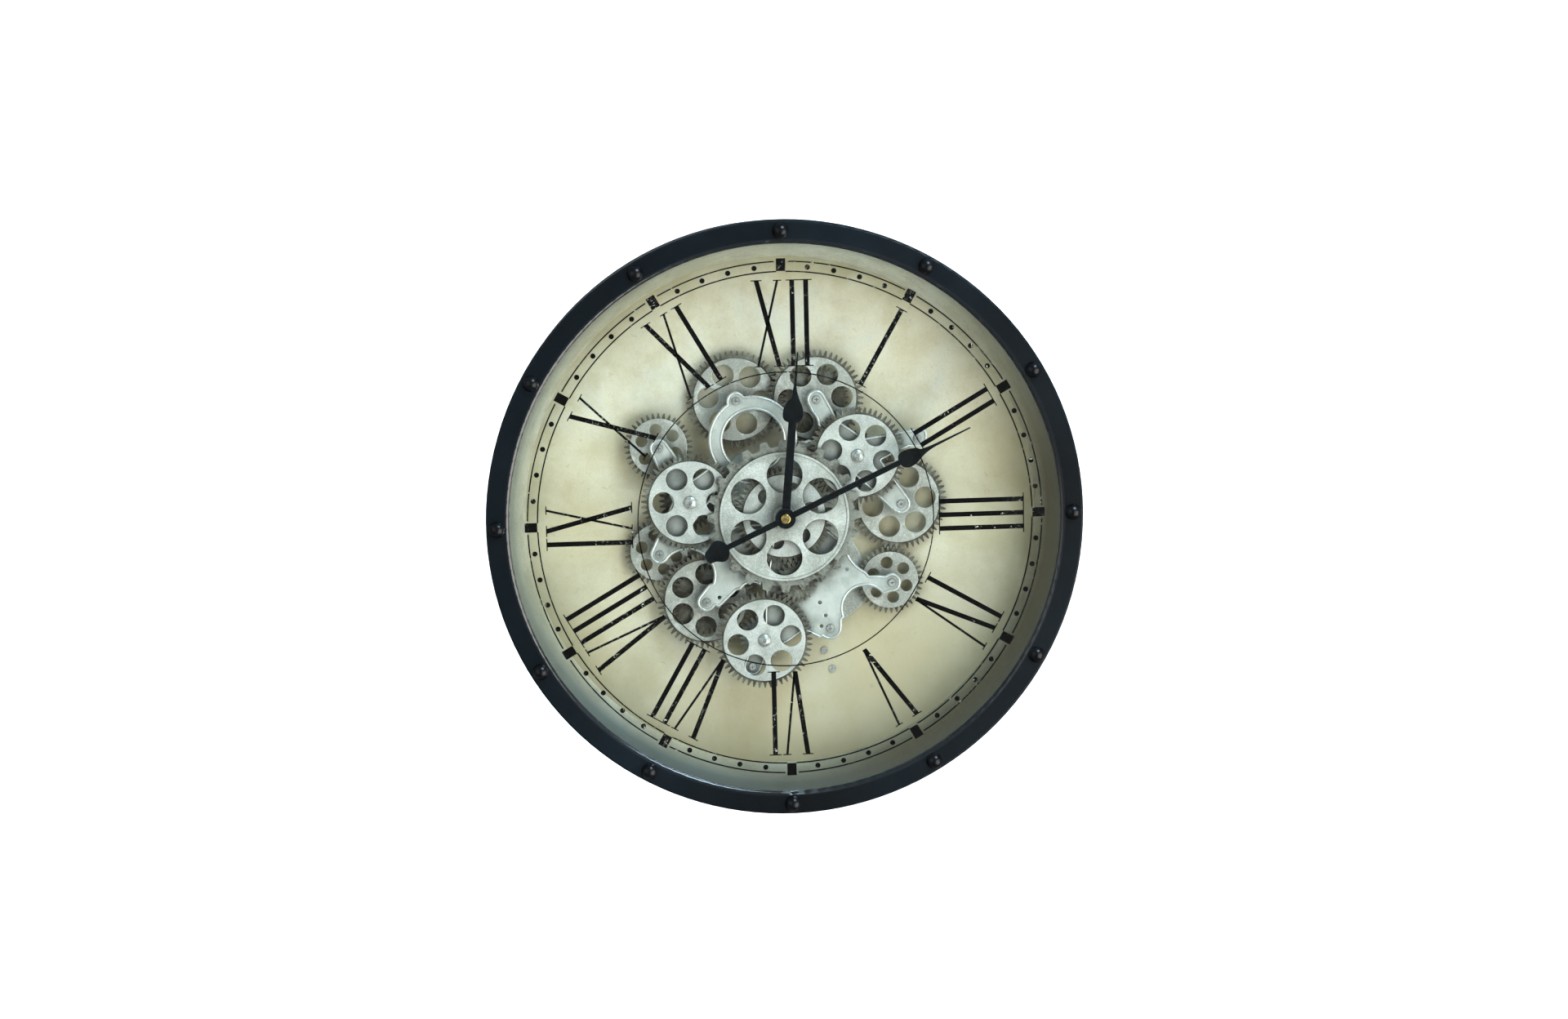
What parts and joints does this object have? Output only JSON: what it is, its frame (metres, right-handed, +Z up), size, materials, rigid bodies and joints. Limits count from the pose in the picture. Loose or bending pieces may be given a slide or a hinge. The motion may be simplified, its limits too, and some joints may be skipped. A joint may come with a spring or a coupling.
{
  "type": "wall clock",
  "caption": "Round wall clock with a deep black bolted case, Roman numerals on the glass, spade hands, and a skeleton train of meshing gears in front of a cream dial.",
  "frame": {"origin": "centre of the hanging keyhole, on the wall plane", "axes": "+Z up, -Y is the way the dial faces, +Y goes into the wall"},
  "size_m": [0.4599, 0.0854, 0.46],
  "materials": {
    "case_drum": "semi-gloss blue-black",
    "bezel_ring": "semi-gloss blue-black",
    "bezel_bolts": "gloss black",
    "glass": "clear",
    "glass_gasket": "matte",
    "inner_rim": "matte aged cream",
    "dial_board": "matte aged cream print on fibreboard",
    "case_screws": "satin",
    "back_cover": "matte black fibreboard",
    "hanger_plate": "satin",
    "base_plate": "satin",
    "train_posts": "satin",
    "left_bridge": "satin",
    "right_bridge": "satin",
    "lower_bridge": "satin",
    "train_screws": "satin",
    "centre_tube": "satin",
    "movement_case": "matte black",
    "movement_cover": "matte black",
    "gear_motor": "matte grey",
    "battery_box": "matte black",
    "batteries": "gloss",
    "coarse_wheel": "satin, darkened teeth",
    "centre_disc": "satin silver",
    "centre_fine_wheel": "satin, darkened teeth",
    "centre_fine_disc": "satin silver",
    "left_arbor": "satin",
    "left_wheel": "satin, darkened teeth",
    "left_disc": "satin silver",
    "right_arbor": "satin",
    "right_wheel": "satin, darkened teeth",
    "right_disc": "satin silver",
    "lower_arbor": "satin",
    "lower_wheel": "satin, darkened teeth",
    "lower_disc": "satin silver",
    "idler_gear": "satin, darkened teeth",
    "upper_right_wheel": "satin, darkened teeth",
    "upper_right_disc": "satin silver",
    "upper_right_rear_wheel": "satin, darkened teeth",
    "upper_left_wheel": "satin, darkened teeth",
    "upper_left_disc": "satin silver",
    "far_right_wheel": "satin, darkened teeth",
    "far_right_disc": "satin silver",
    "small_right_wheel": "satin, darkened teeth",
    "small_right_disc": "satin silver",
    "lower_left_wheel": "satin, darkened teeth",
    "lower_left_disc": "satin silver",
    "lower_left_rear_wheel": "satin, darkened teeth",
    "small_upper_wheel": "satin, darkened teeth",
    "small_upper_disc": "satin silver",
    "small_left_wheel": "satin, darkened teeth",
    "small_left_disc": "satin silver",
    "minute_hand": "semi-gloss blue-black",
    "hand_nut": "polished",
    "minute_arbor": "polished",
    "setting_knob": "matte white",
    "hour_hand": "semi-gloss blue-black",
    "hour_pipe": "polished",
    "motion_wheel": "natural acetal"
  },
  "bodies": {
    "case": {"case_drum": "case_drum", "bezel_ring": "bezel_ring", "bezel_bolts": "bezel_bolts", "glass": "glass", "glass_gasket": "glass_gasket", "inner_rim": "inner_rim", "dial_board": "dial_board", "case_screws": "case_screws", "back_cover": "back_cover", "hanger_plate": "hanger_plate", "base_plate": "base_plate", "train_posts": "train_posts", "left_bridge": "left_bridge", "right_bridge": "right_bridge", "lower_bridge": "lower_bridge", "train_screws": "train_screws", "centre_tube": "centre_tube", "movement_case": "movement_case", "movement_cover": "movement_cover", "gear_motor": "gear_motor", "battery_box": "battery_box", "batteries": "batteries"},
    "centre_gear": {"coarse_wheel": "coarse_wheel", "centre_disc": "centre_disc", "centre_fine_wheel": "centre_fine_wheel", "centre_fine_disc": "centre_fine_disc"},
    "left_gear": {"left_arbor": "left_arbor", "left_wheel": "left_wheel", "left_disc": "left_disc"},
    "right_gear": {"right_arbor": "right_arbor", "right_wheel": "right_wheel", "right_disc": "right_disc"},
    "lower_gear": {"lower_arbor": "lower_arbor", "lower_wheel": "lower_wheel", "lower_disc": "lower_disc"},
    "idler": {"idler_gear": "idler_gear"},
    "upper_right_gear": {"upper_right_wheel": "upper_right_wheel", "upper_right_disc": "upper_right_disc", "upper_right_rear_wheel": "upper_right_rear_wheel"},
    "upper_left_gear": {"upper_left_wheel": "upper_left_wheel", "upper_left_disc": "upper_left_disc"},
    "far_right_gear": {"far_right_wheel": "far_right_wheel", "far_right_disc": "far_right_disc"},
    "small_right_gear": {"small_right_wheel": "small_right_wheel", "small_right_disc": "small_right_disc"},
    "lower_left_gear": {"lower_left_wheel": "lower_left_wheel", "lower_left_disc": "lower_left_disc", "lower_left_rear_wheel": "lower_left_rear_wheel"},
    "small_upper_gear": {"small_upper_wheel": "small_upper_wheel", "small_upper_disc": "small_upper_disc"},
    "small_left_gear": {"small_left_wheel": "small_left_wheel", "small_left_disc": "small_left_disc"},
    "minute": {"minute_hand": "minute_hand", "hand_nut": "hand_nut", "minute_arbor": "minute_arbor", "setting_knob": "setting_knob"},
    "hour": {"hour_hand": "hour_hand", "hour_pipe": "hour_pipe"},
    "motion": {"motion_wheel": "motion_wheel"}
  },
  "joints": [
    {"name": "centre_gear_spin", "type": "hinge", "parent": "case", "child": "centre_gear", "pos_m": [0, -0.035, -0.18], "axis": [0, 1, 0], "continuous": true},
    {"name": "left_gear_spin", "type": "hinge", "parent": "case", "child": "left_gear", "pos_m": [-0.07274, -0.035, -0.1673], "axis": [0, 1, 0], "continuous": true},
    {"name": "right_gear_spin", "type": "hinge", "parent": "case", "child": "right_gear", "pos_m": [0.05819, -0.035, -0.13454], "axis": [0, 1, 0], "continuous": true},
    {"name": "idler_spin", "type": "hinge", "parent": "case", "child": "idler", "pos_m": [0.00849, -0.035, -0.23185], "axis": [0, 1, 0], "continuous": true},
    {"name": "lower_gear_spin", "type": "hinge", "parent": "case", "child": "lower_gear", "pos_m": [-0.01762, -0.035, -0.27744], "axis": [0, 1, 0], "continuous": true},
    {"name": "upper_right_gear_spin", "type": "hinge", "parent": "case", "child": "upper_right_gear", "pos_m": [0.02724, -0.035, -0.09034], "axis": [0, 1, 0], "continuous": true},
    {"name": "upper_left_gear_spin", "type": "hinge", "parent": "case", "child": "upper_left_gear", "pos_m": [-0.03524, -0.035, -0.08979], "axis": [0, 1, 0], "continuous": true},
    {"name": "far_right_gear_spin", "type": "hinge", "parent": "case", "child": "far_right_gear", "pos_m": [0.09185, -0.035, -0.17395], "axis": [0, 1, 0], "continuous": true},
    {"name": "small_right_gear_spin", "type": "hinge", "parent": "case", "child": "small_right_gear", "pos_m": [0.08369, -0.035, -0.2359], "axis": [0, 1, 0], "continuous": true},
    {"name": "lower_left_gear_spin", "type": "hinge", "parent": "case", "child": "lower_left_gear", "pos_m": [-0.06188, -0.035, -0.24657], "axis": [0, 1, 0], "continuous": true},
    {"name": "small_upper_gear_spin", "type": "hinge", "parent": "case", "child": "small_upper_gear", "pos_m": [-0.0957, -0.035, -0.12484], "axis": [0, 1, 0], "continuous": true},
    {"name": "small_left_gear_spin", "type": "hinge", "parent": "case", "child": "small_left_gear", "pos_m": [-0.09737, -0.035, -0.20783], "axis": [0, 1, 0], "continuous": true},
    {"name": "minute_spin", "type": "hinge", "parent": "case", "child": "minute", "pos_m": [0, -0.012, -0.18], "axis": [0, 1, 0], "continuous": true},
    {"name": "hour_spin", "type": "hinge", "parent": "case", "child": "hour", "pos_m": [0, -0.012, -0.18], "axis": [0, 1, 0], "continuous": true},
    {"name": "motion_spin", "type": "hinge", "parent": "case", "child": "motion", "pos_m": [0, -0.012, -0.167], "axis": [0, 1, 0], "continuous": true}
  ],
  "couplings": [
    {"joint": "left_gear_spin", "follows": "centre_gear_spin", "ratio": -1},
    {"joint": "right_gear_spin", "follows": "centre_gear_spin", "ratio": -1},
    {"joint": "idler_spin", "follows": "centre_gear_spin", "ratio": -2.3636},
    {"joint": "lower_gear_spin", "follows": "centre_gear_spin", "ratio": 1},
    {"joint": "upper_right_gear_spin", "follows": "centre_gear_spin", "ratio": 0.46154},
    {"joint": "upper_left_gear_spin", "follows": "centre_gear_spin", "ratio": -0.31953},
    {"joint": "far_right_gear_spin", "follows": "centre_gear_spin", "ratio": 0.40385},
    {"joint": "small_right_gear_spin", "follows": "centre_gear_spin", "ratio": -0.58333},
    {"joint": "lower_left_gear_spin", "follows": "centre_gear_spin", "ratio": -0.46154},
    {"joint": "small_upper_gear_spin", "follows": "centre_gear_spin", "ratio": 0.88889},
    {"joint": "small_left_gear_spin", "follows": "centre_gear_spin", "ratio": 0.48718},
    {"joint": "motion_spin", "follows": "minute_spin", "ratio": -0.33333},
    {"joint": "hour_spin", "follows": "minute_spin", "ratio": 0.083333}
  ]
}
